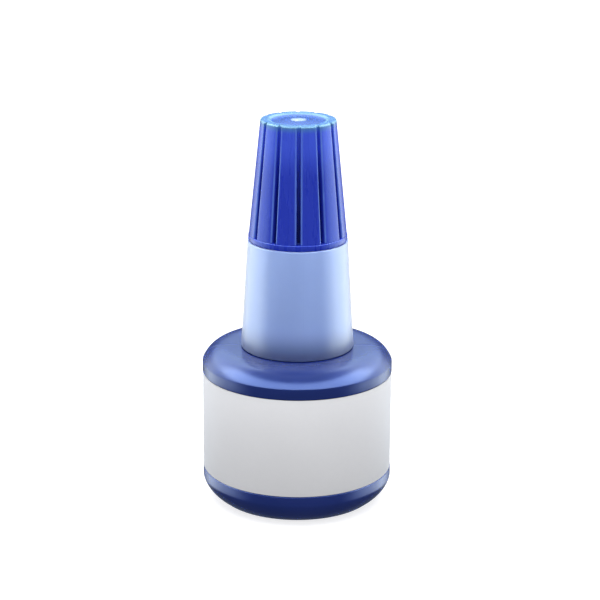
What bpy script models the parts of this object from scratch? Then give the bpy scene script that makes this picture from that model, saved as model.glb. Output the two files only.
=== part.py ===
"""Stamp-pad ink bottle: round body, label, screw-on spout with a drip plug, fluted screw cap.

Everything turns about the vertical axis through the origin. The base stands on z = 0 and the
label's blank face looks along -Y. Dimensions are in millimetres; MM turns them into metres.
"""

import math

import bmesh
import bpy

MM = 0.001

# Bottle body.
BODY_RADIUS = 20.0
BODY_WALL = 1.0
PANEL_RADIUS = 19.45
PANEL_BOTTOM = 6.9
PANEL_TOP = 28.5
SHOULDER_HEIGHT = 33.6
SHOULDER_FLAT = 12.6
SHOULDER_CREASE = 30.5
SHOULDER_POWER = 4.8
HEEL_DEPTH = 5.5
HEEL_HEIGHT = 5.2
HEEL_POWER = 1.6
FOOT_ROUND = 0.3
RING_INNER = 12.4
PUSH_UP = 2.0

# Bottle neck.
NECK_RADIUS = 8.7
NECK_BORE = 7.2
NECK_TOP = 50.5

# Ink and label.
INK_LEVEL = 27.5
LABEL_BOTTOM = 7.2
LABEL_HEIGHT = 21.0
LABEL_THICKNESS = 0.25
LABEL_SEAM_DEGREES = 6.0

# Every pair of faces that touches keeps this gap.
GAP = 0.3

# Gasket between the neck's rim and the spout's inner ledge.
GASKET_THICKNESS = 1.2
GASKET_OUTER = 9.5

# Spout: a hollow cone with a ledge for the cap and a spigot above it.
SPOUT_BASE = 33.9
SPOUT_BASE_RADIUS = 11.83
SPOUT_BORE = 10.0
LEDGE_HEIGHT = 56.5
LEDGE_RADIUS = 10.6
THROAT_RADIUS = 6.9
SPIGOT_RADIUS = 5.2
SPIGOT_BORE = 3.6
SPIGOT_TOP = 66.0

# Drip plug pressed into the spigot.
PLUG_BOTTOM = 58.0
PLUG_BARREL = 3.3
PLUG_FLANGE = 4.7
PLUG_FLANGE_THICKNESS = 1.2
NOZZLE_RADIUS = 3.1
TIP_RADIUS = 1.3
TIP_HEIGHT = 78.5
DRIP_HOLE = 0.55

# Sealing wad under the cap's ceiling.
WAD_RADIUS = 4.9
WAD_THICKNESS = 1.4

# Cap: a tapered fluted knob over a plain band.
CAP_BASE = 56.8
CAP_TOP = 82.1
CAP_BORE = 6.25
CAP_BORE_TOP = 5.4
CAP_CEILING = 80.5
BAND_RADIUS = 10.3
BAND_HEIGHT = 1.2
LOBE_RADIUS_BOTTOM = 10.2
LOBE_RADIUS_TOP = 7.75
RECESS_RADIUS = 6.1
RECESS_DEPTH = 0.4
GATE_RADIUS = 1.7
GATE_DEPTH = 0.15

# Flutes cut into the cap.
FLUTE_COUNT = 12
FLUTE_FLOOR_BOTTOM = 7.8
FLUTE_FLOOR_TOP = 7.3
FLUTE_FLOOR_HALF_WIDTH = 0.34
FLUTE_FLARE = 0.08
FLUTE_TURN_DEGREES = 0.8

# Neck thread: male on the bottle, female in the spout, half a pitch apart.
NECK_LEAD = 3.2
NECK_MALE_CREST = 9.55
NECK_FEMALE_CREST = 9.05
NECK_MALE_START = 38.0
NECK_MALE_TURNS = 2.0
NECK_FEMALE_TURNS = 2.0
NECK_FEMALE_LAG_TURNS = 1.25

# Cap thread: male on the spigot, female in the cap, half a pitch apart.
CAP_LEAD = 3.0
CAP_MALE_CREST = 5.85
CAP_FEMALE_CREST = 5.55
CAP_MALE_START = 58.8
CAP_MALE_TURNS = 1.75
CAP_FEMALE_TURNS = 1.5
CAP_FEMALE_LAG_TURNS = 0.75

# Thread ridges.
RIDGE_BASE_HALF_WIDTH = 0.65
RIDGE_CREST_HALF_WIDTH = 0.3
RIDGE_ROOT_DEPTH = 0.25
RIDGE_STEPS_PER_TURN = 24
RIDGE_FADE_STEPS = 3

SMOOTH_ANGLE = math.radians(35)


def arc(centre_r, centre_z, radius_r, radius_z, start, end, steps, power=2.0):
    """Points of a superellipse arc in the (r, z) plane, angles in degrees."""
    points = []
    for index in range(steps + 1):
        angle = math.radians(start + (end - start) * index / steps)
        cosine = math.cos(angle)
        sine = math.sin(angle)
        reach_r = math.copysign(abs(cosine) ** (2.0 / power), cosine)
        reach_z = math.copysign(abs(sine) ** (2.0 / power), sine)
        points.append((centre_r + radius_r * reach_r, centre_z + radius_z * reach_z))
    return points


def dome(flat_r, top_z, edge_r, edge_z, stations):
    """Points of the shoulder, from its flat middle out to the crease above the wall."""
    points = []
    for station in stations:
        drop = (top_z - edge_z) * station ** SHOULDER_POWER
        points.append((flat_r + (edge_r - flat_r) * station, top_z - drop))
    return points


def make_collection(name):
    collection = bpy.data.collections.new(name)
    bpy.context.scene.collection.children.link(collection)
    return collection


def make_material(name, colour, roughness):
    material = bpy.data.materials.new(name)
    material.use_nodes = True
    shader = material.node_tree.nodes["Principled BSDF"]
    shader.inputs["Base Color"].default_value = (*colour, 1.0)
    shader.inputs["Roughness"].default_value = roughness
    shader.inputs["Metallic"].default_value = 0.0
    material.diffuse_color = (*colour, 1.0)
    return material


def make_turned(name, profile, base, steps, collection, closed=False, degrees=360.0):
    """Turn a profile of (r, z) points about the vertical axis; its outer side runs downward."""
    mesh = bpy.data.meshes.new(name)
    points = [(r * MM, 0.0, (z - base) * MM) for r, z in profile]
    edges = [(index, index + 1) for index in range(len(points) - 1)]
    if closed:
        edges.append((len(points) - 1, 0))
    mesh.from_pydata(points, edges, [])
    turned = bpy.data.objects.new(name, mesh)
    turned.location.z = base * MM
    collection.objects.link(turned)
    screw = turned.modifiers.new("turn", "SCREW")
    screw.axis = "Z"
    screw.angle = math.radians(degrees)
    screw.steps = steps
    screw.render_steps = steps
    screw.use_merge_vertices = True
    screw.merge_threshold = 0.00001
    return turned


def make_ridge(name, wall, crest, start_height, lead, start_turn, turns, base, collection):
    """A helical thread ridge whose ends sink into the wall it stands on."""
    inward = -1.0 if crest > wall else 1.0
    root = wall + inward * RIDGE_ROOT_DEPTH
    sunk = wall + inward * RIDGE_ROOT_DEPTH * 0.4
    steps = round(turns * RIDGE_STEPS_PER_TURN)
    ridge = bmesh.new()
    sections = []
    for index in range(steps + 1):
        turn = start_turn + index / RIDGE_STEPS_PER_TURN
        angle = turn * math.tau
        height = start_height + lead * turn - base
        growth = min(1.0, index / RIDGE_FADE_STEPS, (steps - index) / RIDGE_FADE_STEPS)
        top = sunk + (crest - sunk) * growth
        outline = (
            (root, height - RIDGE_BASE_HALF_WIDTH),
            (top, height - RIDGE_CREST_HALF_WIDTH),
            (top, height + RIDGE_CREST_HALF_WIDTH),
            (root, height + RIDGE_BASE_HALF_WIDTH),
        )
        section = []
        for radius, z in outline:
            x = radius * math.cos(angle)
            y = radius * math.sin(angle)
            section.append(ridge.verts.new((x * MM, y * MM, z * MM)))
        sections.append(section)
    for near, far in zip(sections, sections[1:]):
        for side in range(4):
            after = (side + 1) % 4
            ridge.faces.new((near[side], near[after], far[after], far[side]))
    ridge.faces.new(sections[0])
    ridge.faces.new(sections[-1])
    bmesh.ops.triangulate(ridge, faces=ridge.faces[:])
    bmesh.ops.recalc_face_normals(ridge, faces=ridge.faces[:])
    mesh = bpy.data.meshes.new(name)
    ridge.to_mesh(mesh)
    ridge.free()
    tool = bpy.data.objects.new(name, mesh)
    tool.location.z = base * MM
    hide_tool(tool, collection)
    return tool


def make_flute_cutters(name, collection):
    """Twelve tapered blocks that leave the cap's lobes standing between them."""
    cutters = bmesh.new()
    reach = BAND_RADIUS + 2.0
    bottom = CAP_BASE + BAND_HEIGHT
    top = CAP_TOP + 1.0
    for index in range(FLUTE_COUNT):
        block = bmesh.ops.create_cube(cutters, size=2.0)["verts"]
        turn = math.tau * index / FLUTE_COUNT - math.pi / 2 + math.radians(FLUTE_TURN_DEGREES)
        for vertex in block:
            is_top = vertex.co.z > 0
            floor = FLUTE_FLOOR_TOP if is_top else FLUTE_FLOOR_BOTTOM
            radius = reach if vertex.co.x > 0 else floor
            half_width = FLUTE_FLOOR_HALF_WIDTH + FLUTE_FLARE * (radius - floor)
            side = math.copysign(half_width, vertex.co.y)
            x = radius * math.cos(turn) - side * math.sin(turn)
            y = radius * math.sin(turn) + side * math.cos(turn)
            z = (top if is_top else bottom) - CAP_BASE
            vertex.co = (x * MM, y * MM, z * MM)
    bmesh.ops.recalc_face_normals(cutters, faces=cutters.faces[:])
    mesh = bpy.data.meshes.new(name)
    cutters.to_mesh(mesh)
    cutters.free()
    tool = bpy.data.objects.new(name, mesh)
    tool.location.z = CAP_BASE * MM
    hide_tool(tool, collection)
    return tool


def hide_tool(tool, collection):
    collection.objects.link(tool)
    tool.hide_render = True
    tool.display_type = "WIRE"


def add_boolean(target, operand, operation):
    boolean = target.modifiers.new(operand.name, "BOOLEAN")
    boolean.operation = operation
    boolean.solver = "EXACT"
    boolean.object = operand


def finish_part(part, material, frame):
    """Apply the modifiers, shade the round faces smooth and hang the part on the frame."""
    graph = bpy.context.evaluated_depsgraph_get()
    mesh = bpy.data.meshes.new_from_object(part.evaluated_get(graph))
    part.modifiers.clear()
    part.data = mesh
    mesh.name = part.name
    mesh.materials.clear()
    mesh.materials.append(material)
    mesh.shade_smooth()
    mesh.set_sharp_from_angle(angle=SMOOTH_ANGLE)
    part.parent = frame


def bottle_profile():
    """Inner surface from the floor's centre up to the rim, then the outer surface down."""
    inner_body = BODY_RADIUS - BODY_WALL
    inner_panel = PANEL_RADIUS - BODY_WALL
    outer_stations = (0.0, 0.35, 0.55, 0.7, 0.8, 0.88, 0.95)
    inner_stations = (1.0, 0.86, 0.65, 0.3)
    foot_r = BODY_RADIUS - HEEL_DEPTH
    heel = arc(foot_r, HEEL_HEIGHT, HEEL_DEPTH, HEEL_HEIGHT, 0, -78, 6, HEEL_POWER)
    crease_r, crease_z = heel[-1]
    ring_outer = crease_r - FOOT_ROUND
    profile = [
        (0.0, PUSH_UP + BODY_WALL),
        (RING_INNER - 2.2, PUSH_UP + BODY_WALL - 0.2),
        (RING_INNER + 0.1, BODY_WALL + 0.1),
        (ring_outer - 0.4, BODY_WALL),
    ]
    heel_depth = inner_panel - ring_outer + 0.4
    heel_height = HEEL_HEIGHT - 0.1
    profile += arc(ring_outer - 0.4, HEEL_HEIGHT + 0.9, heel_depth, heel_height, -72, 0, 4, 1.8)
    profile.append((inner_panel, PANEL_TOP))
    inner_top = SHOULDER_HEIGHT - BODY_WALL
    inner_crease = SHOULDER_CREASE - BODY_WALL * 0.8
    profile += dome(SHOULDER_FLAT - 0.4, inner_top, inner_body, inner_crease, inner_stations)
    profile += [
        (NECK_BORE + 0.8, SHOULDER_HEIGHT - BODY_WALL),
        (NECK_BORE, SHOULDER_HEIGHT - BODY_WALL + 0.8),
        (NECK_BORE, NECK_TOP),
        (NECK_RADIUS - 0.3, NECK_TOP),
        (NECK_RADIUS, NECK_TOP - 0.3),
        (NECK_RADIUS, SHOULDER_HEIGHT + 0.5),
        (NECK_RADIUS + 0.5, SHOULDER_HEIGHT),
    ]
    crease_top = SHOULDER_CREASE
    profile += dome(SHOULDER_FLAT, SHOULDER_HEIGHT, BODY_RADIUS, crease_top, outer_stations)
    profile += [
        (BODY_RADIUS - 0.05, SHOULDER_CREASE + 0.1),
        (BODY_RADIUS, SHOULDER_CREASE - 0.3),
        (BODY_RADIUS, PANEL_TOP + 0.3),
        (PANEL_RADIUS, PANEL_TOP),
        (PANEL_RADIUS, PANEL_BOTTOM),
        (BODY_RADIUS, PANEL_BOTTOM - 0.3),
    ]
    profile += heel
    profile += [
        (ring_outer, 0.0),
        (RING_INNER, 0.0),
        (RING_INNER - 1.0, 0.6),
        (RING_INNER - 2.0, PUSH_UP - 0.3),
        (0.0, PUSH_UP),
    ]
    return profile


def ink_profile():
    """The ink's free surface, then its side and underside, clear of the bottle's inner wall."""
    side = PANEL_RADIUS - BODY_WALL - GAP
    floor = BODY_WALL + GAP
    profile = [(0.0, INK_LEVEL), (side, INK_LEVEL)]
    profile += arc(14.0, HEEL_HEIGHT + 1.1, side - 14.0, HEEL_HEIGHT - 0.4, 0, -70, 4, 1.8)
    profile += [
        (RING_INNER + 0.1, floor + 0.3),
        (RING_INNER - 2.0, PUSH_UP + floor),
        (0.0, PUSH_UP + floor + 0.1),
    ]
    return profile


def spout_profile():
    """Closed loop: spigot, ledge and cone on the outside, bore and throat on the inside."""
    ceiling = NECK_TOP + GASKET_THICKNESS + 2 * GAP
    return [
        (SPIGOT_BORE, SPIGOT_TOP),
        (SPIGOT_RADIUS - 0.3, SPIGOT_TOP),
        (SPIGOT_RADIUS, SPIGOT_TOP - 0.3),
        (SPIGOT_RADIUS, LEDGE_HEIGHT),
        (LEDGE_RADIUS - 0.4, LEDGE_HEIGHT),
        (LEDGE_RADIUS - 0.12, LEDGE_HEIGHT - 0.12),
        (LEDGE_RADIUS, LEDGE_HEIGHT - 0.4),
        (SPOUT_BASE_RADIUS, SPOUT_BASE + 0.3),
        (SPOUT_BASE_RADIUS - 0.25, SPOUT_BASE),
        (SPOUT_BORE + 0.3, SPOUT_BASE),
        (SPOUT_BORE, SPOUT_BASE + 0.3),
        (SPOUT_BORE, ceiling),
        (THROAT_RADIUS, ceiling),
        (SPIGOT_BORE, ceiling + 2.6),
    ]


def plug_profile():
    """Closed loop: nozzle, flange and barrel on the outside, the drip channel on the inside."""
    flange_bottom = SPIGOT_TOP + GAP
    flange_top = flange_bottom + PLUG_FLANGE_THICKNESS
    return [
        (DRIP_HOLE, TIP_HEIGHT),
        (TIP_RADIUS - 0.3, TIP_HEIGHT),
        (TIP_RADIUS, TIP_HEIGHT - 0.3),
        (NOZZLE_RADIUS, flange_top + 0.6),
        (NOZZLE_RADIUS + 0.5, flange_top),
        (PLUG_FLANGE - 0.2, flange_top),
        (PLUG_FLANGE, flange_top - 0.2),
        (PLUG_FLANGE, flange_bottom),
        (PLUG_BARREL, flange_bottom),
        (PLUG_BARREL, PLUG_BOTTOM + 0.4),
        (PLUG_BARREL - 0.3, PLUG_BOTTOM),
        (PLUG_BARREL - 0.9, PLUG_BOTTOM),
        (PLUG_BARREL - 0.9, flange_top),
        (DRIP_HOLE, TIP_HEIGHT - 1.5),
    ]


def cap_profile():
    """Recessed top, tapered knob, band, then the bore up to the ceiling."""
    crown = CAP_TOP - GATE_DEPTH
    band_top = CAP_BASE + BAND_HEIGHT
    return [
        (0.0, crown - GATE_DEPTH),
        (GATE_RADIUS - 0.35, crown - GATE_DEPTH),
        (GATE_RADIUS, crown),
        (RECESS_RADIUS - 1.1, CAP_TOP - RECESS_DEPTH),
        (RECESS_RADIUS, CAP_TOP),
        (LOBE_RADIUS_TOP - 0.3, CAP_TOP),
        (LOBE_RADIUS_TOP, CAP_TOP - 0.3),
        (LOBE_RADIUS_BOTTOM, band_top),
        (BAND_RADIUS - 0.05, band_top - 0.25),
        (BAND_RADIUS, band_top - 0.5),
        (BAND_RADIUS, CAP_BASE + 0.25),
        (BAND_RADIUS - 0.25, CAP_BASE),
        (CAP_BORE + 0.3, CAP_BASE),
        (CAP_BORE, CAP_BASE + 0.3),
        (CAP_BORE, SPIGOT_TOP + 0.5),
        (CAP_BORE_TOP, CAP_CEILING),
        (0.0, CAP_CEILING),
    ]


for old in list(bpy.data.objects):
    bpy.data.objects.remove(old, do_unlink=True)

parts = make_collection("ink_bottle")
tools = make_collection("ink_bottle_tools")

blue_body = make_material("ink_blue_polyethylene", (0.035, 0.06, 0.24), 0.38)
ink_blue = make_material("blue_ink", (0.004, 0.008, 0.09), 0.1)
label_paper = make_material("label_paper", (0.62, 0.62, 0.64), 0.6)
foam = make_material("sealing_foam", (0.8, 0.8, 0.78), 0.8)
pale_blue = make_material("pale_blue_polypropylene", (0.55, 0.66, 0.85), 0.35)
natural = make_material("natural_polyethylene", (0.78, 0.8, 0.8), 0.4)
cap_blue = make_material("cap_blue_polypropylene", (0.03, 0.07, 0.5), 0.3)

frame = bpy.data.objects.new("ink_bottle_frame", None)
parts.objects.link(frame)

# Bottle with its neck thread.
bottle = make_turned("bottle", bottle_profile(), 0.0, 48, parts)
neck_male = make_ridge(
    "neck_male_thread", NECK_RADIUS, NECK_MALE_CREST, NECK_MALE_START, NECK_LEAD,
    0.0, NECK_MALE_TURNS, 0.0, tools,
)
add_boolean(bottle, neck_male, "UNION")
finish_part(bottle, blue_body, frame)

# Ink fill.
ink = make_turned("ink", ink_profile(), 0.0, 32, parts)
finish_part(ink, ink_blue, frame)

# Wrap label, open at a seam on the back.
label_outer = [
    (BODY_RADIUS, LABEL_BOTTOM + LABEL_HEIGHT),
    (BODY_RADIUS, LABEL_BOTTOM),
]
label = make_turned(
    "label", label_outer, LABEL_BOTTOM, 47, parts, degrees=360.0 - LABEL_SEAM_DEGREES,
)
label.rotation_euler.z = math.radians(90.0 + LABEL_SEAM_DEGREES / 2)
skin = label.modifiers.new("thickness", "SOLIDIFY")
skin.thickness = LABEL_THICKNESS * MM
skin.offset = -1.0
finish_part(label, label_paper, frame)

# Gasket on the neck's rim.
gasket_bottom = NECK_TOP + GAP
gasket_top = gasket_bottom + GASKET_THICKNESS
gasket_loop = [
    (NECK_BORE + 0.2, gasket_top),
    (GASKET_OUTER, gasket_top),
    (GASKET_OUTER, gasket_bottom),
    (NECK_BORE + 0.2, gasket_bottom),
]
gasket = make_turned("neck_gasket", gasket_loop, gasket_bottom, 32, parts, closed=True)
finish_part(gasket, foam, frame)

# Spout with the female neck thread and the male cap thread.
spout = make_turned("spout", spout_profile(), SPOUT_BASE, 48, parts, closed=True)
neck_female = make_ridge(
    "neck_female_thread", SPOUT_BORE, NECK_FEMALE_CREST, NECK_MALE_START + NECK_LEAD / 2,
    NECK_LEAD, -NECK_FEMALE_LAG_TURNS, NECK_FEMALE_TURNS, SPOUT_BASE, tools,
)
cap_male = make_ridge(
    "cap_male_thread", SPIGOT_RADIUS, CAP_MALE_CREST, CAP_MALE_START, CAP_LEAD,
    0.0, CAP_MALE_TURNS, SPOUT_BASE, tools,
)
add_boolean(spout, neck_female, "UNION")
add_boolean(spout, cap_male, "UNION")
finish_part(spout, pale_blue, frame)

# Drip plug in the spigot.
plug = make_turned("dropper_plug", plug_profile(), PLUG_BOTTOM, 32, parts, closed=True)
finish_part(plug, natural, frame)

# Sealing wad between the nozzle's tip and the cap's ceiling.
wad_bottom = TIP_HEIGHT + GAP
wad_top = wad_bottom + WAD_THICKNESS
wad_half = [(0.0, wad_top), (WAD_RADIUS, wad_top), (WAD_RADIUS, wad_bottom), (0.0, wad_bottom)]
wad = make_turned("cap_wad", wad_half, wad_bottom, 24, parts)
finish_part(wad, foam, frame)

# Fluted cap with its female thread.
cap = make_turned("cap", cap_profile(), CAP_BASE, 72, parts)
flutes = make_flute_cutters("flute_cutters", tools)
cap_female = make_ridge(
    "cap_female_thread", CAP_BORE, CAP_FEMALE_CREST, CAP_MALE_START + CAP_LEAD / 2,
    CAP_LEAD, -CAP_FEMALE_LAG_TURNS, CAP_FEMALE_TURNS, CAP_BASE, tools,
)
add_boolean(cap, flutes, "DIFFERENCE")
add_boolean(cap, cap_female, "UNION")
finish_part(cap, cap_blue, frame)
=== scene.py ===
"""Studio look of the stamp-ink bottle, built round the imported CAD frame."""

import math

import bmesh
import bpy
from mathutils import Matrix, Vector


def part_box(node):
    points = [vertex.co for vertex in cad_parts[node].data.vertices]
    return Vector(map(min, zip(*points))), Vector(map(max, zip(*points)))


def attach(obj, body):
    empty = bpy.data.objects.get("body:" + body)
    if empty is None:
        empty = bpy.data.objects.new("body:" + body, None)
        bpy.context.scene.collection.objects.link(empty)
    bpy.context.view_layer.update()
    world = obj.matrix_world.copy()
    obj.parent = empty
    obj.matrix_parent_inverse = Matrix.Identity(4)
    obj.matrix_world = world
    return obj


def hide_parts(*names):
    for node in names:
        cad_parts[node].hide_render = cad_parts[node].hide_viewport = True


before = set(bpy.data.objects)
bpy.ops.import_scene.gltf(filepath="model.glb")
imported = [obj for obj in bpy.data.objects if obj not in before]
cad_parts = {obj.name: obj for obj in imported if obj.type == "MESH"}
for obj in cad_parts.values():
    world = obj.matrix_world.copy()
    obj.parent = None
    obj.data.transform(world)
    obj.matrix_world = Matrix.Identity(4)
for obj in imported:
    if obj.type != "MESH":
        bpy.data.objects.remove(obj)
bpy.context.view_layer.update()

MM = 0.001


def box_mm(node):
    """Lowest and highest corners of a CAD node, in millimetres."""
    return [[value / MM for value in corner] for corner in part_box(node)]


# Sizes read from the frame, in millimetres.
bottle_high = box_mm("bottle")[1]
ink_high = box_mm("ink")[1]
label_low, label_high = box_mm("label")
gasket_low, gasket_high = box_mm("neck_gasket")
spout_high = box_mm("spout")[1]
plug_low, plug_high = box_mm("dropper_plug")
wad_low, wad_high = box_mm("cap_wad")
cap_low, cap_high = box_mm("cap")

BODY_R = bottle_high[0]
NECK_TOP = bottle_high[2]
LABEL_BOTTOM = label_low[2]
LABEL_TOP = label_high[2]
LABEL_R = label_high[0] - 0.02
INK_LEVEL = ink_high[2]
SPIGOT_TOP = spout_high[2]
PLUG_BOTTOM = plug_low[2]
TIP_Z = plug_high[2]
CAP_BASE = cap_low[2]
CAP_TOP = cap_high[2]
BAND_R = cap_high[0]

# Bottle: flat shoulder, dome out to a crease, wall, rounded heel, foot ring and push-up.
# Angles and the widths of parting lines are in degrees.
SHOULDER_Z = 33.6
SHOULDER_FLAT_R = 12.6
CREASE_Z = 30.5
CREASE_FILLET = 1.3
SHOULDER_POWER = 4.8
NECK_R = 8.7
NECK_BORE = 7.2
WALL = 1.0
FOOT_WALL = 1.1
HEEL_R = 14.5
HEEL_Z = 5.2
HEEL_POWER = 1.6
HEEL_END = -78
FOOT_R = 14.97
FOOT_INNER_R = 12.4
PUSH_UP_R = 10.6
PUSH_UP_Z = 2.0
MOULD_RING_Z = 0.75
MOULD_RING_HEIGHT = 0.06
MOULD_RING_WIDTH = 0.13
SEAM_WIDTH = 0.75
SEAM_SIZE = 0.03
INK_R = 18.3
MENISCUS_R = 1.1
INNER_FLOOR_Z = 3.0

LABEL_THICKNESS = 0.12
LABEL_SEAM = math.radians(6.0)
GASKET_WIDTH = 2.1

# Spout, with one parting line at PARTING and one opposite, and the nozzle in its spigot.
SPOUT_SEAT = SHOULDER_Z + 0.06
SPOUT_LEDGE = CAP_BASE - 0.16
SPOUT_FOOT_R = 11.83
SPOUT_LEDGE_R = 10.46
SPOUT_BORE = 10.0
SPOUT_ROOF_Z = 52.3
THROAT_R = 6.9
THROAT_TOP = 54.9
SPIGOT_R = 5.2
SPIGOT_BORE = 3.6
PARTING = 277.0
PARTING_WIDTH = 0.9
PARTING_HEIGHT = 0.012
FLANGE_R = 4.7
FLANGE_LOW = SPIGOT_TOP + 0.05
FLANGE_HIGH = SPIGOT_TOP + 1.5
PLUG_R = 3.35
PLUG_RIB_R = 3.55
PLUG_RIB_Z = 62.2
PLUG_BORE = 2.4
TIP_R = 1.35
TIP_BORE = 0.55

# Cap: lobe and flute-floor radii are given at the band and at the top.
FLUTES = 12
FLUTE_TURN = math.radians(0.8)
FLUTE_FLOOR_HALF = 0.3
LOBE_R = (10.2, 7.84)
FLOOR_R = (7.8, 7.2)
CAP_SEAT = CAP_BASE - 0.1
BAND_TOP = CAP_BASE + 1.2
LEDGE_R = 10.02
CAP_RIM = 0.42
CAP_SIDE_ROWS = 16
CAP_BORE = 6.25
CAP_UPPER_BORE = 5.4
CAP_CEILING = 80.5

# Screw threads: rise per turn, height of the outer thread's lower end, and both crests.
NECK_LEAD = 3.2
NECK_THREAD_Z = 38.0
NECK_CREST_R = 9.55
SPOUT_CREST_R = 9.05
CAP_LEAD = 3.0
CAP_THREAD_Z = 58.8
SPIGOT_CREST_R = 5.85
CAP_CREST_R = 5.55


# ---------------------------------------------------------------- outlines


def rounded(corners, closed=False):
    """Corners are (x, y, fillet radius, steps); returns the outline with the fillets drawn."""
    points = []
    count = len(corners)
    for index, (x, y, radius, steps) in enumerate(corners):
        here = Vector((x, y))
        ends = not closed and index in (0, count - 1)
        if radius <= 0 or ends:
            points.append((x, y))
            continue
        before = Vector(corners[index - 1][:2]) - here
        after = Vector(corners[(index + 1) % count][:2]) - here
        reach = min(before.length, after.length)
        before.normalize()
        after.normalize()
        half = before.angle(after) / 2
        trim = min(radius / math.tan(half), reach * 0.49)
        radius = trim * math.tan(half)
        middle = (before + after).normalized() * (radius / math.sin(half)) + here
        start = here + before * trim - middle
        end = here + after * trim - middle
        sweep = math.pi - 2 * half
        if start.x * end.y - start.y * end.x < 0:
            sweep = -sweep
        for step in range(steps + 1):
            angle = sweep * step / steps
            cosine, sine = math.cos(angle), math.sin(angle)
            points.append((
                middle.x + start.x * cosine - start.y * sine,
                middle.y + start.x * sine + start.y * cosine,
            ))
    return points


def arc(centre_r, centre_z, radius_r, radius_z, start, end, steps, power=2.0):
    """Superellipse arc in the (r, z) plane, angles in degrees."""
    points = []
    for index in range(steps + 1):
        angle = math.radians(start + (end - start) * index / steps)
        cosine, sine = math.cos(angle), math.sin(angle)
        points.append((
            centre_r + radius_r * math.copysign(abs(cosine) ** (2 / power), cosine),
            centre_z + radius_z * math.copysign(abs(sine) ** (2 / power), sine),
        ))
    return points


# ---------------------------------------------------------------- meshes

# Columns either side of a mould's parting line, in degrees.
SEAM_STEPS = (-1.4, -0.9, -0.6, -0.4, -0.2, 0.0, 0.2, 0.4, 0.6, 0.9, 1.4)


def seam_height(angle, seam, width):
    """A parting line's smooth section: 1 on the line and 0 from its width outward."""
    away = abs((math.degrees(angle) - seam + 180.0) % 360.0 - 180.0) / width
    return 0.0 if away >= 1.0 else (1.0 - away * away) ** 2


class Shape:
    """Collects points in millimetres and faces, and makes one smooth object of them."""

    def __init__(self):
        self.points = []
        self.faces = []

    def ring_grid(self, rings, wrap=True):
        """Joins rings of equal length; wrap joins each ring's last point to its first."""
        first = len(self.points)
        width = len(rings[0])
        for ring in rings:
            self.points += ring
        span = width if wrap else width - 1
        for row in range(len(rings) - 1):
            for column in range(span):
                after = (column + 1) % width
                a = first + row * width
                b = a + width
                self.faces.append((a + column, b + column, b + after, a + after))
        return first

    def turned(self, outline, segments, closed=False, seams=(), mark=None):
        """Turns an (r, z) outline about the axis; its outer side runs downward.

        Extra columns stand close together at each seam angle, and mark moves a point there.
        """
        outline = list(outline) + ([outline[0]] if closed else [])
        angles = [math.tau * i / segments for i in range(segments)]
        for seam in seams:
            near = [math.radians(seam + step) for step in SEAM_STEPS]
            angles = [a for a in angles if not near[0] - 0.006 < a < near[-1] + 0.006] + near
        angles.sort()
        segments = len(angles)
        for near, far in zip(outline, outline[1:]):
            if near == far:
                continue
            rows = []
            for r, z in (near, far):
                if r < 1e-6:
                    rows.append(None)
                else:
                    moved = [mark(r, z, a) if mark else (r, z) for a in angles]
                    rows.append([
                        (reach * math.cos(a), reach * math.sin(a), rise)
                        for (reach, rise), a in zip(moved, angles)
                    ])
            if rows[0] is None and rows[1] is None:
                continue
            if rows[0] is None or rows[1] is None:
                ring = rows[0] or rows[1]
                tip = len(self.points)
                self.points.append((0.0, 0.0, near[1] if rows[0] is None else far[1]))
                start = len(self.points)
                self.points += ring
                for i in range(segments):
                    j = (i + 1) % segments
                    if rows[0] is None:
                        self.faces.append((tip, start + i, start + j))
                    else:
                        self.faces.append((start + i, tip, start + j))
                continue
            self.ring_grid(rows)

    def ridge(self, wall, crest, start_z, lead, start_turn, turns, fade=0.12, half=(0.65, 0.26)):
        """Helical thread ridge with rounded flanks; both ends fade into the wall."""
        inward = -1.0 if crest > wall else 1.0
        root = wall + inward * 0.12
        per_turn = 72
        steps = round(turns * per_turn)
        rings = []
        for index in range(steps + 1):
            turn = start_turn + index / per_turn
            growth = min(1.0, index / per_turn / fade, (steps - index) / per_turn / fade)
            growth = math.sin(growth * math.pi / 2)
            top = root + (crest - root) * growth
            angle = turn * math.tau
            z = start_z + lead * turn
            section = rounded([
                (-half[0], root, 0, 0),
                (-half[1], top, 0.14, 3),
                (half[1], top, 0.14, 3),
                (half[0], root, 0, 0),
            ]) if growth > 0.05 else None
            if section is None:
                width = half[0]
                section = [(-width + 2 * width * i / 9, root) for i in range(10)]
            rings.append([
                (r * math.cos(angle), r * math.sin(angle), z + offset) for offset, r in section
            ])
        if inward < 0:
            rings = [ring[::-1] for ring in rings]
        self.ring_grid(rings, wrap=False)

    def build(self, name, material, body, node, sharp=32):
        mesh = bpy.data.meshes.new(name)
        mesh.from_pydata([(x * MM, y * MM, z * MM) for x, y, z in self.points], [], self.faces)
        piece = bpy.data.objects.new(name, mesh)
        bpy.context.scene.collection.objects.link(piece)
        weld(mesh)
        mesh.materials.append(material)
        mesh.shade_smooth()
        mesh.set_sharp_from_angle(angle=math.radians(sharp))
        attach(piece, body)
        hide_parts(node)
        return piece


def weld(mesh):
    """Merges the points that neighbouring strips share."""
    work = bmesh.new()
    work.from_mesh(mesh)
    bmesh.ops.remove_doubles(work, verts=work.verts, dist=0.000002)
    work.to_mesh(mesh)
    work.free()


# ---------------------------------------------------------------- materials

# Where a noise value reaches the darker and the lighter shade of a pair.
MOTTLE_STOPS = (0.3, 0.7)

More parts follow.
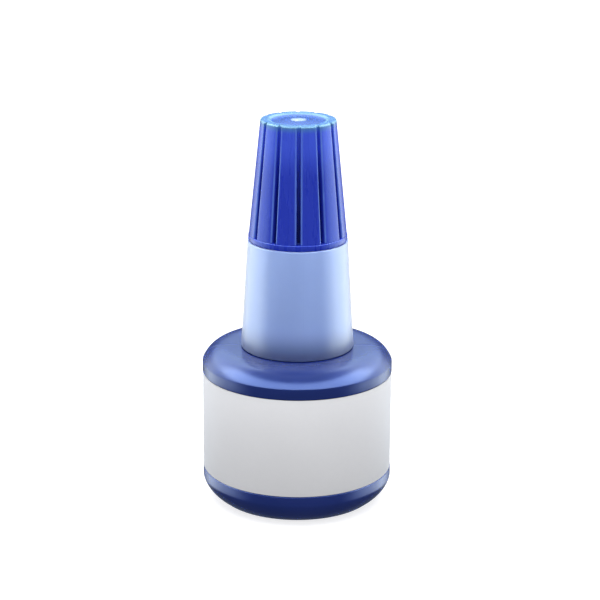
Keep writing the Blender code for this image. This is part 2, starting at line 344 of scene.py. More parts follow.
BODY_BLUE = (0.011, 0.022, 0.122), (0.014, 0.026, 0.138)
INK_BLUE = (0.002, 0.004, 0.06), (0.004, 0.008, 0.1)
LABEL_GREY = (0.635, 0.64, 0.665), (0.665, 0.67, 0.695)
SPOUT_MILK = (0.218, 0.318, 0.63), (0.23, 0.332, 0.65)
CAP_BLUE = (0.014, 0.03, 0.37), (0.016, 0.033, 0.395)
NATURAL_MILK = (0.7, 0.74, 0.76), (0.78, 0.81, 0.83)
FOAM_WHITE = (0.74, 0.75, 0.74), (0.82, 0.82, 0.8)
PAPER_WHITE = (0.38, 0.38, 0.38), (0.42, 0.42, 0.42)

# Painted shade and painted reflection for the spout's foot.
SPOUT_FOOT_PAINTED_SHADE = (0.008, 0.015, 0.07)
# Painted light for the cap's upper part.
CAP_UPPER_PAINTED_LIGHT = (0.036, 0.07, 0.56)
# Painted shade in the flutes.
FLUTE_PAINTED_SHADE = (0.004, 0.007, 0.12)
# Painted highlight for the lobes' edges.
LOBE_EDGE_HIGHLIGHT = (0.09, 0.17, 0.56)
# Painted light for the cap's top rim.
RIM_PAINTED_LIGHT = (0.055, 0.16, 0.38)
# Painted highlight for the dish's lip and the rim's outer fillet.
RIM_EDGE_HIGHLIGHT = (0.17, 0.34, 0.47)
DISH_BLUE = (0.006, 0.045, 0.26)
GATE_PALE = (0.27, 0.36, 0.41)
# Painted highlight on the gate.
GATE_HIGHLIGHT_PALE = (0.5, 0.52, 0.52)
INK_STAIN = (0.05, 0.09, 0.45)

# Heights over which the spout's painted shade at its foot fades out, and its sheen fades in.
SPOUT_FOOT_SHADE_SPAN = (SHOULDER_Z - 0.1, SHOULDER_Z + 8.4)


class NodeTools:
    """Short ways to add arithmetic to a node tree."""

    def __init__(self, tree):
        self.nodes = tree.nodes
        self.links = tree.links

    def math(self, operation, first, second=None):
        node = self.nodes.new("ShaderNodeMath")
        node.operation = operation
        for socket, value in zip(node.inputs, (first, second)):
            if value is None:
                continue
            if isinstance(value, (int, float)):
                socket.default_value = value
            else:
                self.links.new(value, socket)
        return node.outputs[0]

    def span(self, value, low, high, to_low=0.0, to_high=1.0):
        """A smooth ramp from one level to another."""
        node = self.nodes.new("ShaderNodeMapRange")
        node.interpolation_type = "SMOOTHSTEP"
        self.links.new(value, node.inputs["Value"])
        node.inputs["From Min"].default_value = low
        node.inputs["From Max"].default_value = high
        node.inputs["To Min"].default_value = to_low
        node.inputs["To Max"].default_value = to_high
        return node.outputs["Result"]

    def band(self, value, rise, fall, level=1.0, rest=0.0):
        """Rises to a level over one (start, end) stretch and falls to a share of it over another."""
        up = self.span(value, *rise, 0.0, level)
        return self.math("MULTIPLY", up, self.span(value, *fall, 1.0, rest))


class Finish(NodeTools):
    """A Principled material with helpers for procedural detail in object space."""

    def __init__(self, name):
        self.material = bpy.data.materials.new(name)
        self.material.use_nodes = True
        super().__init__(self.material.node_tree)
        self.shader = self.nodes["Principled BSDF"]
        self.where = self.nodes.new("ShaderNodeTexCoord").outputs["Object"]
        self.height = None

    def set(self, **values):
        for key, value in values.items():
            self.shader.inputs[key.replace("_", " ")].default_value = value
        return self

    def noise(self, scale, detail=3.0, roughness=0.55, stretch=None):
        node = self.nodes.new("ShaderNodeTexNoise")
        node.inputs["Scale"].default_value = scale
        node.inputs["Detail"].default_value = detail
        node.inputs["Roughness"].default_value = roughness
        source = self.where
        if stretch:
            mapping = self.nodes.new("ShaderNodeMapping")
            mapping.inputs["Scale"].default_value = stretch
            self.links.new(source, mapping.inputs["Vector"])
            source = mapping.outputs["Vector"]
        self.links.new(source, node.inputs["Vector"])
        return node.outputs["Fac"]

    def axis(self, letter):
        node = self.nodes.new("ShaderNodeSeparateXYZ")
        self.links.new(self.where, node.inputs[0])
        return node.outputs[letter]

    def span_mm(self, value, low, high, to_low=0.0, to_high=1.0):
        """The same ramp over a length in metres, with its ends given in millimetres."""
        return self.span(value, low * MM, high * MM, to_low, to_high)

    def band_mm(self, value, rise, fall, level=1.0):
        """The same rise and fall, with the stretches given in millimetres."""
        rise, fall = ([end * MM for end in stretch] for stretch in (rise, fall))
        return self.band(value, rise, fall, level)

    def distance(self, across, along):
        """Length of the vector (across, along)."""
        squares = [self.math("MULTIPLY", value, value) for value in (across, along)]
        return self.math("SQRT", self.math("ADD", *squares))

    def shades(self, value, pair):
        """Colours a noise value between a darker and a lighter shade."""
        node = self.nodes.new("ShaderNodeValToRGB")
        self.links.new(value, node.inputs[0])
        for element, position, shade in zip(node.color_ramp.elements, MOTTLE_STOPS, pair):
            element.position = position
            element.color = (*shade, 1.0)
        return node.outputs["Color"]

    def mix(self, amount, first, second):
        node = self.nodes.new("ShaderNodeMix")
        node.data_type = "RGBA"
        self.links.new(amount, node.inputs[0])
        for socket, value in ((node.inputs[6], first), (node.inputs[7], second)):
            if isinstance(value, tuple):
                socket.default_value = (*value, 1.0)
            else:
                self.links.new(value, socket)
        return node.outputs[2]

    def blend(self, first, second, share):
        """Adds two values, the first by its share and the second by the rest."""
        return self.math(
            "ADD",
            self.math("MULTIPLY", first, share),
            self.math("MULTIPLY", second, 1.0 - share),
        )

    def colour(self, socket):
        self.links.new(socket, self.shader.inputs["Base Color"])
        return self

    def roughness(self, socket):
        self.links.new(socket, self.shader.inputs["Roughness"])
        return self

    def bump(self, height, distance, strength=1.0):
        """Adds a bump layer; later layers build on earlier ones."""
        node = self.nodes.new("ShaderNodeBump")
        node.inputs["Strength"].default_value = strength
        node.inputs["Distance"].default_value = distance
        self.links.new(height, node.inputs["Height"])
        if self.height is not None:
            self.links.new(self.height, node.inputs["Normal"])
        self.height = node.outputs["Normal"]
        self.links.new(self.height, self.shader.inputs["Normal"])
        return self


def body_finish():
    """Blow-moulded ink-blue polyethylene: satin, slightly uneven, faint handling marks."""
    finish = Finish("body_polyethylene")
    finish.set(
        Metallic=0.0,
        IOR=1.5,
        Specular_IOR_Level=0.35,
        Specular_Tint=(0.46, 0.6, 1.0, 1.0),
    )
    mottle = finish.noise(90.0, 4.0)
    fine = finish.noise(1500.0, 2.0)
    finish.colour(finish.shades(mottle, BODY_BLUE))
    marks = finish.noise(420.0, 6.0, 0.7, stretch=(1.0, 1.0, 0.25))
    finish.roughness(finish.span(marks, 0.3, 0.8, 0.19, 0.28))
    finish.bump(mottle, 0.0002, 0.2)
    finish.bump(fine, 0.000006, 0.4)
    return finish.material


def ink_finish():
    """Dark, glossy ink."""
    finish = Finish("blue_ink")
    finish.set(Metallic=0.0, IOR=1.36, Roughness=0.05)
    drift = finish.noise(60.0, 2.0)
    finish.colour(finish.shades(drift, INK_BLUE))
    finish.bump(drift, 0.0001, 0.1)
    return finish.material


def label_finish():
    """Plain coated paper: faint fibres and a slightly uneven sheen."""
    finish = Finish("label_paper")
    finish.set(Metallic=0.0, Specular_IOR_Level=0.08)
    fibre = finish.noise(1500.0, 5.0, 0.65, stretch=(1.0, 1.0, 2.4))
    cloud = finish.noise(70.0, 3.0)
    finish.colour(finish.shades(finish.blend(fibre, cloud, 0.35), LABEL_GREY))
    finish.roughness(finish.span(cloud, 0.3, 0.7, 0.48, 0.6))
    finish.bump(fibre, 0.00002, 0.5)
    return finish.material


def spout_finish():
    """Milky pale blue polypropylene, with painted shade and a painted reflection of the ink-blue
    shoulder darkening its foot.
    """
    finish = Finish("spout_polypropylene")
    finish.set(
        Metallic=0.0,
        IOR=1.49,
        Specular_IOR_Level=1.0,
        Specular_Tint=(1.0, 0.98, 0.76, 1.0),
        Subsurface_Weight=0.35,
        Subsurface_Radius=(0.5, 0.7, 1.0),
        Subsurface_Scale=0.0012,
        Sheen_Roughness=0.35,
        Sheen_Tint=(1.0, 0.96, 0.72, 1.0),
    )
    cloud = finish.noise(120.0, 3.0)
    streak = finish.noise(500.0, 4.0, 0.6, stretch=(1.0, 1.0, 0.08))
    milk = finish.shades(finish.blend(streak, cloud, 0.3), SPOUT_MILK)
    height = finish.axis("Z")
    # Painted shade: the foot is painted dark blue as shade and the shoulder's reflection, fading out
    # upward.
    foot_shade = finish.span_mm(height, *SPOUT_FOOT_SHADE_SPAN, 1.0, 0.0)
    foot_shade = finish.math("MULTIPLY", finish.math("POWER", foot_shade, 1.6), 0.93)
    finish.colour(finish.mix(foot_shade, milk, SPOUT_FOOT_PAINTED_SHADE))
    # Less sheen toward the foot, so the painted shade there stays dark.
    sheen = finish.span_mm(height, *SPOUT_FOOT_SHADE_SPAN, 0.05, 0.95)
    finish.links.new(sheen, finish.shader.inputs["Sheen Weight"])
    finish.roughness(finish.span(streak, 0.3, 0.7, 0.34, 0.42))
    finish.bump(cloud, 0.00006, 0.3)
    finish.bump(finish.noise(3000.0, 2.0), 0.000005, 0.4)
    return finish.material


def flute_offset(finish, across, along, distance):
    """Arc length from the nearest flute's centre line."""
    turn = finish.math("ARCTAN2", along, across)
    turn = finish.math("ADD", turn, math.pi / 2 - FLUTE_TURN + math.pi / FLUTES)
    turn = finish.math("MODULO", finish.math("ADD", turn, math.tau), math.tau / FLUTES)
    turn = finish.math("ABSOLUTE", finish.math("SUBTRACT", turn, math.pi / FLUTES))
    return finish.math("MULTIPLY", turn, distance)


def cap_finish():
    """Injection-moulded blue polypropylene; its upper part and rim are painted paler and greener as
    painted light, its flutes carry painted shade and its edges painted highlights.
    """
    finish = Finish("cap_polypropylene")
    finish.set(
        Metallic=0.0,
        IOR=1.49,
        Specular_IOR_Level=0.36,
        Specular_Tint=(0.6, 0.84, 1.0, 1.0),
    )
    cloud = finish.noise(150.0, 3.0)
    streak = finish.noise(700.0, 5.0, 0.65, stretch=(1.0, 1.0, 0.06))
    base = finish.shades(finish.blend(streak, cloud, 0.2), CAP_BLUE)
    across, along, height = finish.axis("X"), finish.axis("Y"), finish.axis("Z")
    distance = finish.distance(across, along)
    # Painted light: the upper part of the cap is painted a lighter blue.
    base = finish.mix(finish.span_mm(height, CAP_TOP - 11.1, CAP_TOP - 3.6), base, CAP_UPPER_PAINTED_LIGHT)

    # Painted shade darkens the flutes, most of all near the band, and painted highlights make the
    # lobes' edges paler.
    offset = flute_offset(finish, across, along, distance)
    # Painted shade: the flutes are painted darker, most near the band.
    flute_shade = finish.math(
        "MULTIPLY",
        finish.span_mm(offset, 0.25, 0.45, 1.0, 0.0),
        finish.span_mm(height, BAND_TOP, CAP_TOP - 5.1, 0.9, 0.15),
    )
    flute_shade = finish.math("MULTIPLY", flute_shade, finish.span_mm(height, BAND_TOP - 0.1, BAND_TOP + 0.1))
    base = finish.mix(flute_shade, base, FLUTE_PAINTED_SHADE)
    # Painted highlight along the edges of the lobes.
    lobe_edge_highlight = finish.band_mm(offset, (0.4, 0.5), (0.6, 0.9))
    above_band = finish.span_mm(height, BAND_TOP, BAND_TOP + 0.3)
    lobe_edge_highlight = finish.math("MULTIPLY", lobe_edge_highlight, above_band)
    lobe_edge_highlight = finish.math("MULTIPLY", lobe_edge_highlight, finish.span(cloud, 0.25, 0.6, 0.45, 0.85))
    base = finish.mix(lobe_edge_highlight, base, LOBE_EDGE_HIGHLIGHT)

    # Top face: rim painted pale as painted light, painted highlights on its edges, darker dish, and
    # the gate with a painted highlight beside its centre.
    # Painted light: the top rim is painted paler and greener.
    base = finish.mix(finish.span_mm(height, CAP_TOP - 1.7, CAP_TOP - 0.1), base, RIM_PAINTED_LIGHT)
    # Painted highlights: a ring on the lip of the dish and a line along the rim's outer fillet.
    lip_highlight = finish.band_mm(distance, (5.9, 6.05), (6.2, 6.4))
    near_top = finish.span_mm(height, CAP_TOP - 0.5, CAP_TOP - 0.2, 0.0, 0.7)
    lip_highlight = finish.math("MULTIPLY", lip_highlight, near_top)
    edge = finish.band_mm(
        height, (CAP_TOP - 0.5, CAP_TOP - 0.3), (CAP_TOP - 0.08, CAP_TOP - 0.02), 0.7,
    )
    base = finish.mix(finish.math("MAXIMUM", lip_highlight, edge), base, RIM_EDGE_HIGHLIGHT)
    crown = finish.span_mm(height, CAP_TOP - 0.55, CAP_TOP - 0.45)
    # Painted highlight: a pale spot on the gate, 0.4 mm off its centre.
    gate_highlight_spot = finish.distance(finish.math("ADD", across, 0.4 * MM), along)
    for reach, inner, outer, shade in (
        (distance, 5.3, 5.9, DISH_BLUE),
        (distance, 1.3, 1.8, GATE_PALE),
        (gate_highlight_spot, 0.3, 0.6, GATE_HIGHLIGHT_PALE),
    ):
        spot = finish.math("MULTIPLY", finish.span_mm(reach, inner, outer, 1.0, 0.0), crown)
        base = finish.mix(spot, base, shade)
    finish.colour(base)
    finish.roughness(finish.span(streak, 0.3, 0.75, 0.24, 0.34))
    finish.bump(streak, 0.00001, 0.3)
    finish.bump(finish.noise(2400.0, 2.0), 0.000006, 0.4)
    return finish.material


def natural_finish():
    """Undyed polyethylene with ink stains near its tip."""
    finish = Finish("natural_polyethylene")
    finish.set(
        Metallic=0.0,
        IOR=1.5,
        Subsurface_Weight=0.4,
        Subsurface_Radius=(1.0, 1.0, 1.1),
        Subsurface_Scale=0.0012,
    )
    cloud = finish.noise(260.0, 3.0)
    stain = finish.math(
        "MULTIPLY",
        finish.span_mm(finish.axis("Z"), TIP_Z - 2.0, TIP_Z),
        finish.span(cloud, 0.42, 0.6),
    )
    milk = finish.shades(cloud, NATURAL_MILK)
    finish.colour(finish.mix(finish.math("MULTIPLY", stain, 0.75), milk, INK_STAIN))
    finish.roughness(finish.span(cloud, 0.3, 0.7, 0.3, 0.45))
    finish.bump(finish.noise(1800.0, 3.0), 0.00002, 0.4)
    return finish.material


def foam_finish():
    """Closed-cell sealing foam."""
    finish = Finish("sealing_foam")
    finish.set(Metallic=0.0, Specular_IOR_Level=0.25)
    cells = finish.noise(3200.0, 3.0)
    finish.colour(finish.shades(finish.noise(200.0, 2.0), FOAM_WHITE))
    finish.roughness(finish.span(cells, 0.3, 0.7, 0.6, 0.85))
    finish.bump(cells, 0.00008, 0.7)
    return finish.material


# ---------------------------------------------------------------- bottle


def dome(flat_r, top_z, edge_r, edge_z, steps):
    """Shoulder from its flat middle out to the crease above the wall."""
    points = []
    for step in range(steps + 1):
        station = (step / steps) ** 0.8
        drop = (top_z - edge_z) * station ** SHOULDER_POWER
        points.append((flat_r + (edge_r - flat_r) * station, top_z - drop))
    return points


def bottle_outline():
    """Outer surface, from the neck's bore over the shoulder and down to the push-up's centre."""
    panel = LABEL_R - LABEL_THICKNESS - 0.02
    shoulder = dome(SHOULDER_FLAT_R, SHOULDER_Z, BODY_R, CREASE_Z, 34)
    outline = rounded([
        (NECK_BORE, SHOULDER_Z - 0.2, 0, 0),
        (NECK_BORE, NECK_TOP, 0.25, 4),
        (NECK_R, NECK_TOP, 0.35, 5),
        (NECK_R, SHOULDER_Z, 0.8, 6),
        (SHOULDER_FLAT_R, SHOULDER_Z, 0, 0),
    ])
    outline += shoulder[1:-2]
    outline += rounded([
        shoulder[-2] + (0, 0),
        (BODY_R, CREASE_Z, CREASE_FILLET, 5),
        (BODY_R, LABEL_TOP + 0.18, 0.1, 3),
        (panel, LABEL_TOP + 0.06, 0.06, 2),
        (panel, LABEL_BOTTOM - 0.06, 0.06, 2),
        (BODY_R, LABEL_BOTTOM - 0.18, 0.1, 3),
        (BODY_R, HEEL_Z, 0, 0),
    ])
    heel = []
    for r, z in arc(HEEL_R, HEEL_Z, BODY_R - HEEL_R, HEEL_Z, 0, HEEL_END, 30, HEEL_POWER)[1:]:
        proud = MOULD_RING_HEIGHT * math.exp(-(((z - MOULD_RING_Z) / MOULD_RING_WIDTH) ** 2))
        heel.append((r + proud * 0.5, z - proud))
    outline += heel
    outline += rounded([
        heel[-1] + (0, 0),
        (FOOT_R, 0.0, 0.3, 4),
        (FOOT_INNER_R, 0.0, 0.5, 4),
        (PUSH_UP_R, PUSH_UP_Z - 0.3, 0.8, 5),
        (0.0, PUSH_UP_Z, 0, 0),
    ])[1:]
    return outline


def bottle_inside():
    """Inner surface, from the floor's centre up to the neck's bore."""
    inner = BODY_R - 0.55 - WALL
    outline = rounded([
        (0.0, INNER_FLOOR_Z, 0, 0),
        (PUSH_UP_R - 0.4, INNER_FLOOR_Z - 0.2, 0.6, 4),
        (FOOT_INNER_R + 0.1, FOOT_WALL, 0.6, 4),
        (FOOT_R - 0.07, FOOT_WALL, 1.2, 5),
        (inner - 0.4, 3.6, 3.0, 8),
        (inner, 7.5, 3.0, 6),
        (inner, LABEL_TOP, 0, 0),
    ])
    roof = dome(SHOULDER_FLAT_R - 0.4, SHOULDER_Z - WALL, BODY_R - WALL, CREASE_Z - 0.8, 14)
    outline += roof[::-1]
    outline += rounded([
        roof[0] + (0, 0),
        (NECK_BORE, SHOULDER_Z - WALL, 0.7, 5),
        (NECK_BORE, SHOULDER_Z - 0.2, 0, 0),
    ])[1:]
    return outline


def bottle_mark(r, z, angle):
    """The blow mould's parting line: a fine ridge on the shoulder, a fine groove in the wall."""
    neck = r < NECK_R or z > SHOULDER_Z + 0.5
    panel = LABEL_BOTTOM - 0.1 < z < LABEL_TOP + 0.1
    inner = 2.9 < z < LABEL_TOP and r < 19.0
    if neck or panel or inner or z < 0.4:
        return r, z
    line = max(seam_height(angle, seam, SEAM_WIDTH) for seam in (0.0, 180.0)) * SEAM_SIZE
    if z <= CREASE_Z:
        return r - line * 0.4, z
    slope = min(1.0, max(0.0, (r - 12.0) / 8.0))
    return r - line * 0.4 * slope, z + line


bottle_shape = Shape()
bottle_shape.turned(
    bottle_inside() + bottle_outline()[1:], 192, seams=(0.0, 180.0), mark=bottle_mark,
)
bottle_shape.ridge(NECK_R, NECK_CREST_R, NECK_THREAD_Z, NECK_LEAD, 0.0, 2.0)
bottle_shape.build("bottle_shell", body_finish(), "bottle", "bottle")

ink_shape = Shape()
ink_shape.turned(
    [(0.0, INK_LEVEL - 0.25)]
    + arc(INK_R - MENISCUS_R, INK_LEVEL + 0.75, MENISCUS_R, 1.0, -90, -10, 8)
    + rounded([
        (INK_R, INK_LEVEL + 0.3, 0, 0),
        (INK_R, 7.6, 3.0, 6),
        (INK_R - 0.6, 3.9, 3.0, 6),
        (FOOT_R - 0.17, FOOT_WALL + 0.2, 1.0, 4),
        (FOOT_INNER_R + 0.3, FOOT_WALL + 0.2, 0.5, 3),
        (PUSH_UP_R - 0.3, INNER_FLOOR_Z - 0.05, 0.5, 3),
        (0.0, INNER_FLOOR_Z + 0.15, 0, 0),
    ]),
    96,
)
ink_shape.build("ink_fill", ink_finish(), "bottle", "ink")


# ---------------------------------------------------------------- label


def wrap_label(shape, steps=180):
    """Sweeps the paper's section round the bottle, leaving a narrow gap at the back."""
    inner = LABEL_R - LABEL_THICKNESS
    section = rounded([
        (inner, LABEL_BOTTOM, 0.02, 1),
        (LABEL_R, LABEL_BOTTOM, 0.04, 2),
        (LABEL_R, LABEL_TOP, 0.04, 2),
        (inner, LABEL_TOP, 0.02, 1),
    ], closed=True)
    rings = []
    for step in range(steps + 1):
        angle = math.pi / 2 + LABEL_SEAM / 2 + (math.tau - LABEL_SEAM) * step / steps
        rings.append([(r * math.cos(angle), r * math.sin(angle), z) for r, z in section])
    shape.ring_grid(rings)
    last = len(shape.points) - len(section)
    shape.faces.append(tuple(range(len(section))))
    shape.faces.append(tuple(reversed(range(last, len(shape.points)))))


label_shape = Shape()
wrap_label(label_shape)
label_shape.build("label_wrap", label_finish(), "bottle", "label", sharp=50)


# ---------------------------------------------------------------- gasket and wad

foam = foam_finish()

gasket_inner = -gasket_low[0] - GASKET_WIDTH
gasket_shape = Shape()
gasket_shape.turned(rounded([
    (gasket_inner, gasket_high[2], 0.15, 3),
    (gasket_high[0], gasket_high[2], 0.15, 3),
    (gasket_high[0], gasket_low[2], 0.15, 3),
    (gasket_inner, gasket_low[2], 0.15, 3),
], closed=True), 96, closed=True)
gasket_shape.build("neck_gasket_foam", foam, "neck_gasket", "neck_gasket")

# The nozzle's tip has pressed a shallow dimple into the wad.
wad_shape = Shape()
wad_shape.turned(rounded([
    (0.0, wad_high[2], 0, 0),
    (wad_high[0], wad_high[2], 0.15, 3),
    (wad_high[0], wad_low[2], 0.2, 3),
    (2.2, wad_low[2], 0.1, 2),
    (1.9, wad_low[2] + 0.12, 0.1, 2),
    (0.0, wad_low[2] + 0.14, 0, 0),
]), 96)
wad_shape.build("cap_wad_disc", foam, "cap_wad", "cap_wad")


# ---------------------------------------------------------------- spout


def spout_mark(r, z, angle):
    """The mould's two parting lines, proud of the spout's outer wall."""
    if r < SPOUT_LEDGE_R - 0.16 or z > SPOUT_LEDGE - 0.3:
        return r, z
    line = max(seam_height(angle, seam, PARTING_WIDTH) for seam in (PARTING, PARTING - 180.0))
    return r + line * PARTING_HEIGHT, z


spout_shape = Shape()
spout_shape.turned(rounded([
    (SPIGOT_BORE, SPIGOT_TOP, 0.25, 3),
    (SPIGOT_R, SPIGOT_TOP, 0.35, 5),
    (SPIGOT_R, SPOUT_LEDGE, 0.4, 4),
    (SPOUT_LEDGE_R, SPOUT_LEDGE, 0.1, 4),
    (SPOUT_FOOT_R, SPOUT_SEAT, 0.28, 5),
    (SPOUT_BORE, SPOUT_SEAT, 0.4, 4),
    (SPOUT_BORE, SPOUT_ROOF_Z, 0.5, 4),
    (THROAT_R, SPOUT_ROOF_Z, 0.4, 4),
    (SPIGOT_BORE, THROAT_TOP, 1.2, 6),
], closed=True), 192, closed=True, seams=(PARTING - 180.0, PARTING), mark=spout_mark)
spout_shape.ridge(
    SPOUT_BORE, SPOUT_CREST_R, NECK_THREAD_Z + NECK_LEAD / 2, NECK_LEAD, -1.25, 2.0,
)
spout_shape.ridge(SPIGOT_R, SPIGOT_CREST_R, CAP_THREAD_Z, CAP_LEAD, 0.0, 1.75)
spout_shape.build("spout_cone", spout_finish(), "spout", "spout")

plug_shape = Shape()
plug_shape.turned(rounded([
    (TIP_BORE, TIP_Z, 0.12, 3),
    (TIP_R, TIP_Z, 0.3, 5),
    (TIP_R + 0.05, TIP_Z - 0.9, 0.2, 3),
    (TIP_R - 0.05, TIP_Z - 1.3, 0.3, 3),
    (PLUG_R - 0.25, FLANGE_HIGH, 0.9, 6),
    (FLANGE_R, FLANGE_HIGH, 0.25, 4),
    (FLANGE_R, FLANGE_LOW, 0.1, 2),
    (PLUG_RIB_R, FLANGE_LOW, 0.1, 2),
    (PLUG_RIB_R, PLUG_RIB_Z, 0.1, 2),
    (PLUG_R, PLUG_RIB_Z - 0.4, 0.1, 2),
    (PLUG_R, PLUG_BOTTOM, 0.35, 4),
    (PLUG_BORE, PLUG_BOTTOM, 0.2, 3),
    (PLUG_BORE, FLANGE_HIGH, 0.8, 4),
    (TIP_BORE, TIP_Z - 1.5, 0.5, 3),
], closed=True), 128, closed=True)
plug_shape.build(
    "dropper_nozzle", natural_finish(), "spout", "dropper_plug",
)


# ---------------------------------------------------------------- cap


def flute_outline(level):
    """Half a flute's cross-section, floor centre to lobe centre, at 0 (band) to 1 (top)."""
    lobe, floor = (at_band + (at_top - at_band) * level for at_band, at_top in (LOBE_R, FLOOR_R))
    depth = lobe - floor
    edge_angle = (FLUTE_FLOOR_HALF + 0.05 * depth + 0.02) / lobe
    far_angle = math.pi / FLUTES
    edge, near_lobe = (
        (lobe * math.cos(angle), lobe * math.sin(angle))
        for angle in (edge_angle, edge_angle + 0.08)
    )
    points = rounded([
        (floor, 0.0, 0, 0),
        (floor, FLUTE_FLOOR_HALF, min(0.14, depth * 0.3), 4),
        edge + (min(0.4, depth * 0.5), 8),
        near_lobe + (0, 0),
    ])
    start = math.atan2(points[-1][1], points[-1][0])
    for step in range(1, 7):
        angle = start + (far_angle - start) * step / 6
        points.append((lobe * math.cos(angle), lobe * math.sin(angle)))
    return [(math.hypot(x, y), math.atan2(y, x)) for x, y in points]


def flute_ring(level):
    """The whole cross-section as (radius, angle) pairs, mirrored and repeated round the cap."""
    half = flute_outline(level)
    one = [(r, -a) for r, a in half[:0:-1]] + half[:-1]
    ring = []
    for flute in range(FLUTES):
        turn = math.tau * flute / FLUTES - math.pi / 2 + FLUTE_TURN
        ring += [(r, a + turn) for r, a in one]
    return ring


def place(ring, z, radius=None, inset=0.0):
    """Puts a ring of (radius, angle) at a height, or gives it one radius all round."""
    placed = []
    for r, angle in ring:
        reach = (r if radius is None else radius) - inset
        placed.append((reach * math.cos(angle), reach * math.sin(angle), z))
    return placed


def cap_top_rings(ring):
    """Top face from the gate outward: dimple, low crown, dish wall, and the scalloped rim."""
    face = rounded([
        (0.3, CAP_TOP - 0.3, 0, 0),
        (0.95, CAP_TOP - 0.33, 0.2, 3),
        (1.45, CAP_TOP - 0.3, 0.2, 3),
        (1.75, CAP_TOP - 0.16, 0.15, 3),
        (5.05, CAP_TOP - 0.42, 0.2, 4),
        (5.9, CAP_TOP - 0.16, 0.2, 4),
        (6.15, CAP_TOP - 0.01, 0.12, 3),
        (6.4, CAP_TOP - 0.01, 0, 0),
    ])
    rings = [place(ring, z, radius=r) for r, z in face]
    rings.append(place(ring, CAP_TOP - 0.005, inset=CAP_RIM + 0.06))
    for z, inset in arc(CAP_TOP - CAP_RIM, CAP_RIM, CAP_RIM, -CAP_RIM, 0, 90, 6):
        rings.append(place(ring, z, inset=inset))
    return rings


def cap_side_rings():
    """Fluted side, from the rim down to the band."""
    low = BAND_TOP + 0.02
    rings = []
    for step in range(1, CAP_SIDE_ROWS + 1):
        level = 1.0 - step / CAP_SIDE_ROWS
        rings.append(place(flute_ring(level), low + (CAP_TOP - CAP_RIM - low) * level))
    return rings


def cap_band_rings(ring):
    """Band under the flutes, then the seat and the bore up to its ceiling."""
    ledge_z = BAND_TOP + 0.01
    outline = rounded([
        (LEDGE_R - 0.12, ledge_z, 0, 0),
        (BAND_R - 0.02, BAND_TOP - 0.02, 0.2, 5),
        (BAND_R, BAND_TOP - 0.6, 0.4, 2),
        (BAND_R - 0.04, CAP_SEAT, 0.35, 6),
        (CAP_BORE + 0.35, CAP_SEAT, 0.1, 2),
        (CAP_BORE, CAP_SEAT + 0.35, 0.1, 2),
        (CAP_BORE, SPIGOT_TOP + 0.5, 1.0, 3),
        (CAP_UPPER_BORE, CAP_CEILING, 0.4, 4),
        (0.3, CAP_CEILING, 0, 0),
    ])
    rings = [
        place([(min(r, LEDGE_R), angle) for r, angle in ring], ledge_z),
        place(ring, ledge_z, radius=LEDGE_R + 0.01),
    ]
    return rings + [place(ring, z, radius=r) for r, z in outline[1:]]


def close_ring(shape, start, width, z, upward):
    """Closes the small hole in a ring of points with a fan round a point on the axis."""
    tip = len(shape.points)
    shape.points.append((0.0, 0.0, z))
    for column in range(width):
        after = start + (column + 1) % width
        edge = (start + column, after) if upward else (after, start + column)
        shape.faces.append((tip, *edge))


cap_shape = Shape()
band_ring = flute_ring(0.0)
cap_shape.ring_grid(
    cap_top_rings(flute_ring(1.0)) + cap_side_rings() + cap_band_rings(band_ring)
)
last_ring = len(cap_shape.points) - len(band_ring)
close_ring(cap_shape, 0, len(band_ring), CAP_TOP - 0.29, True)
close_ring(cap_shape, last_ring, len(band_ring), CAP_CEILING, False)
cap_shape.ridge(CAP_BORE, CAP_CREST_R, CAP_THREAD_Z + CAP_LEAD / 2, CAP_LEAD, -0.75, 1.5)
cap_shape.build("cap_fluted", cap_finish(), "cap", "cap", sharp=40)


# ---------------------------------------------------------------- studio

# Strengths of the world's reflections, and their slightly blue tints.
SIDE_GLOW = 5.0
WINDOW_GLOW = 16.0
BACK_GLOW = 3.0
DIM_GLOW = 0.1
GLOW_TINT = (0.82, 0.92, 1.0, 1.0)
BACK_TINT = (0.6, 0.78, 1.0, 1.0)
SUN_STRENGTH = 3.6
SUN_ANGLE = math.radians(70.0)

# Camera at the photographed angle: a long lens looking down on the bottle.
CAMERA_FOCUS = 0.42
CAMERA_PITCH = math.radians(17.41)
CAMERA_AIM_Z = 0.0412
CAMERA_ROLL = math.radians(0.28)
CAMERA_LENS = 120.1
CAMERA_SHIFT = (0.0042, 0.017)

scene = bpy.context.scene
scene.view_settings.view_transform = "Standard"
scene.view_settings.look = "None"


def paper_finish():
    """White paper that glows enough to photograph as a plain white ground."""
    finish = Finish("studio_paper")
    finish.set(Metallic=0.0, Roughness=0.9, Specular_IOR_Level=0.0)
    finish.set(Emission_Color=(1.0, 1.0, 1.0, 1.0), Emission_Strength=0.75)
    finish.colour(finish.shades(finish.noise(300.0, 2.0), PAPER_WHITE))
    return finish.material


floor_mesh = bpy.data.meshes.new("studio_floor")
floor_mesh.from_pydata([(-4, -4, 0), (4, -4, 0), (4, 4, 0), (-4, 4, 0)], [], [(0, 1, 2, 3)])
floor_mesh.materials.append(paper_finish())
floor = bpy.data.objects.new("studio_floor", floor_mesh)
scene.collection.objects.link(floor)
floor.visible_glossy = False
floor.visible_diffuse = False


def add_background(tools, tint, strength):
    """A second source of world light, driven by a strength worked out from the direction."""
    node = tools.nodes.new("ShaderNodeBackground")
    node.inputs["Color"].default_value = tint
    tools.links.new(strength, node.inputs["Strength"])
    return node.outputs[0]


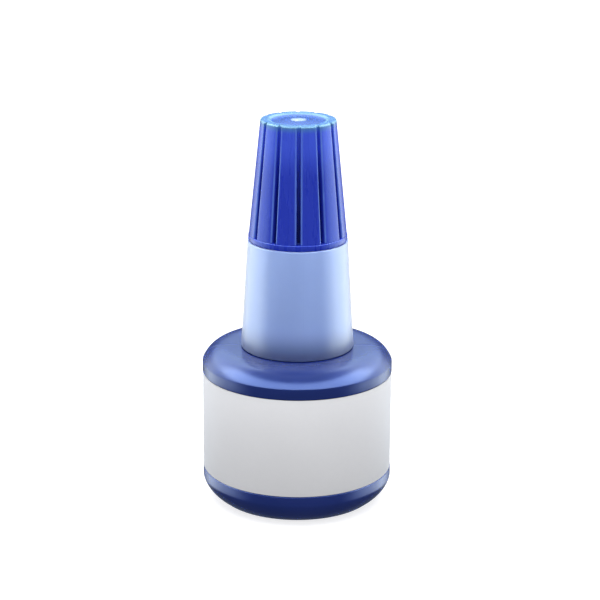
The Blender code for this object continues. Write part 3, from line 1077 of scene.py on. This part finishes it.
def studio_world():
    """Even white light all round, and for reflections a dark front between two bright sides."""
    world = bpy.data.worlds.new("studio_world")
    scene.world = world
    world.use_nodes = True
    world.cycles.sampling_method = "NONE"
    tools = NodeTools(world.node_tree)
    nodes, links = tools.nodes, tools.links
    direction = nodes.new("ShaderNodeTexCoord")
    parts = nodes.new("ShaderNodeSeparateXYZ")
    links.new(direction.outputs["Generated"], parts.inputs[0])
    right, back, up = parts.outputs

    # What lights the bottle: white, darker below the horizon.
    room = nodes["Background"]
    room.inputs["Color"].default_value = (1.0, 1.0, 1.0, 1.0)
    links.new(tools.span(up, -0.3, -0.02, 0.45, 1.0), room.inputs["Strength"])

    # What the bottle mirrors: bright sides, a brighter window above them, and a bluish back.
    sides = tools.band(back, (-0.56, 0.0), (0.5, 0.93))
    for limit in (
        tools.span(up, 0.7, 0.95, SIDE_GLOW, 0.8),
        tools.span(up, -0.56, -0.32),
        tools.span(right, -1.0, 1.0, 0.95, 1.08),
    ):
        sides = tools.math("MULTIPLY", sides, limit)
    window = tools.band(up, (0.3, 0.48), (0.72, 0.86), WINDOW_GLOW, 0.07)
    window = tools.math("MULTIPLY", window, tools.span(back, 0.15, 0.6, 1.0, 0.0))
    glow = tools.math("ADD", tools.math("ADD", sides, window), DIM_GLOW)
    wall = tools.math(
        "MULTIPLY", tools.span(back, 0.25, 0.8), tools.span(up, 0.25, 0.36, DIM_GLOW, BACK_GLOW),
    )
    mirrored = nodes.new("ShaderNodeAddShader")
    links.new(add_background(tools, GLOW_TINT, glow), mirrored.inputs[0])
    links.new(add_background(tools, BACK_TINT, wall), mirrored.inputs[1])

    ray = nodes.new("ShaderNodeLightPath")
    pick = nodes.new("ShaderNodeMixShader")
    links.new(ray.outputs["Is Glossy Ray"], pick.inputs[0])
    links.new(room.outputs[0], pick.inputs[1])
    links.new(mirrored.outputs[0], pick.inputs[2])
    links.new(pick.outputs[0], nodes["World Output"].inputs["Surface"])


studio_world()

sun_data = bpy.data.lights.new("overhead", "SUN")
sun_data.energy = SUN_STRENGTH
sun_data.angle = SUN_ANGLE
sun = bpy.data.objects.new("overhead", sun_data)
sun.visible_glossy = False
scene.collection.objects.link(sun)

camera_data = bpy.data.cameras.new("camera")
camera_data.lens = CAMERA_LENS
camera_data.sensor_width = 36.0
camera_data.shift_x, camera_data.shift_y = CAMERA_SHIFT
camera_data.clip_start = 0.01
camera = bpy.data.objects.new("camera", camera_data)
behind = Vector((0.0, -math.cos(CAMERA_PITCH), math.sin(CAMERA_PITCH)))
facing = behind.to_track_quat("Z", "Y").to_matrix()
facing = facing @ Matrix.Rotation(CAMERA_ROLL, 3, "Z")
place_at = Vector((0.0, 0.0, CAMERA_AIM_Z)) + behind * CAMERA_FOCUS
camera.matrix_world = Matrix.Translation(place_at) @ facing.to_4x4()
scene.collection.objects.link(camera)
scene.camera = camera
